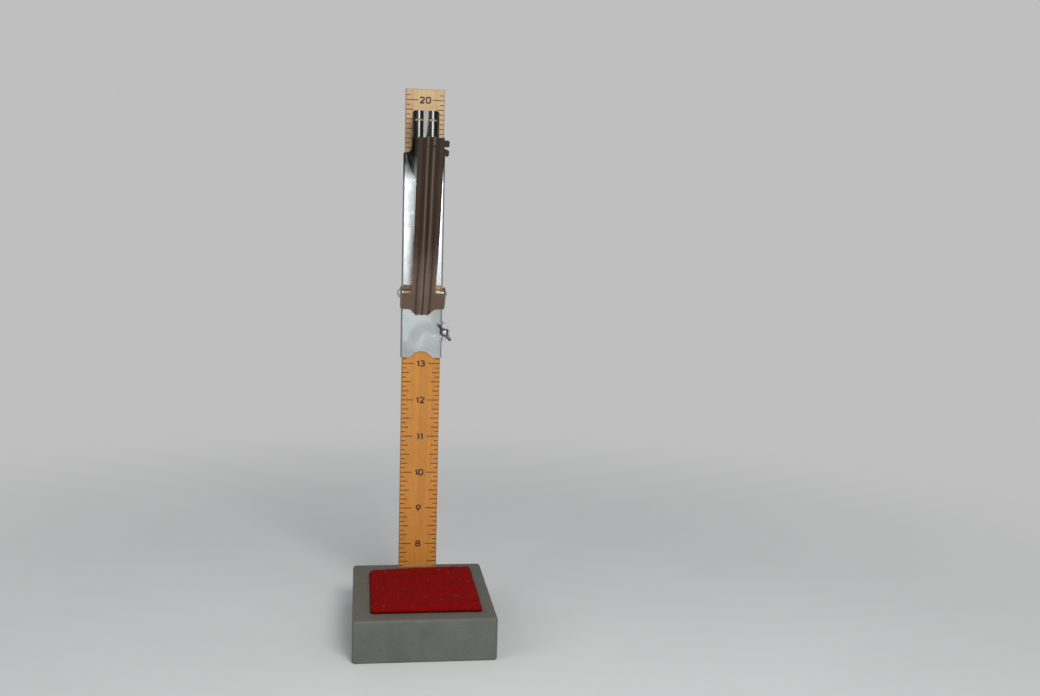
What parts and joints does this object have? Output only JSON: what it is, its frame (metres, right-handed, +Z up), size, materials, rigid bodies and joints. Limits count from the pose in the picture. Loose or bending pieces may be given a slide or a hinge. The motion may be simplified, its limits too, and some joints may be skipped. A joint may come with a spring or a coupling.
{
  "type": "skirt marker",
  "caption": "Dressmaker's skirt marker: an upright inch scale in a grey block with a red pin pad, and a clamped sliding carriage with a hinged pinning jaw.",
  "frame": {"origin": "middle of the block's underside, on the surface that it stands on", "axes": "+Z up along the scale, +X to the user's right, -Y towards the user"},
  "size_m": [0.089, 0.1151, 0.3558],
  "materials": {
    "grey_paint": "wood under grey enamel",
    "scale_wood": "varnished hardwood",
    "screw_steel": "dull steel",
    "red_felt": "wool felt",
    "pad_filling": "cotton wadding",
    "plated_sheet": "nickel plated",
    "plated_hardware": "nickel plated"
  },
  "bodies": {
    "stand": {"base_block": "grey_paint", "ruler": "scale_wood", "ruler_screws": "screw_steel", "pin_pad_cover": "red_felt", "pin_pad_filling": "pad_filling"},
    "carriage": {"carriage": "plated_sheet", "hinge_pin": "plated_hardware", "clamp_bolt": "plated_hardware"},
    "swing_jaw": {"swing_jaw": "plated_sheet"},
    "clamp_washer": {"clamp_washer": "plated_hardware"},
    "wing_nut": {"wing_nut": "plated_hardware"}
  },
  "joints": [
    {"name": "carriage_slide", "type": "slide", "parent": "stand", "child": "carriage", "axis": [0, 0, 1], "range_m": [-0.147, 0.144]},
    {"name": "jaw_hinge", "type": "hinge", "parent": "carriage", "child": "swing_jaw", "pos_m": [0, 0.04205, 0.21939], "axis": [1, 0, 0], "range_deg": [-32, 0]},
    {"name": "washer_creep", "type": "slide", "parent": "carriage", "child": "clamp_washer", "axis": [0, -1, 0], "range_m": [0, 0.00119]},
    {"name": "wing_nut_turn", "type": "hinge", "parent": "clamp_washer", "child": "wing_nut", "pos_m": [0.01535, 0.048, 0.19299], "axis": [0, -1, 0], "range_deg": [0, 540]}
  ],
  "couplings": [
    {"joint": "wing_nut_turn", "follows": "washer_creep", "rad_per_m": 7913.3}
  ]
}
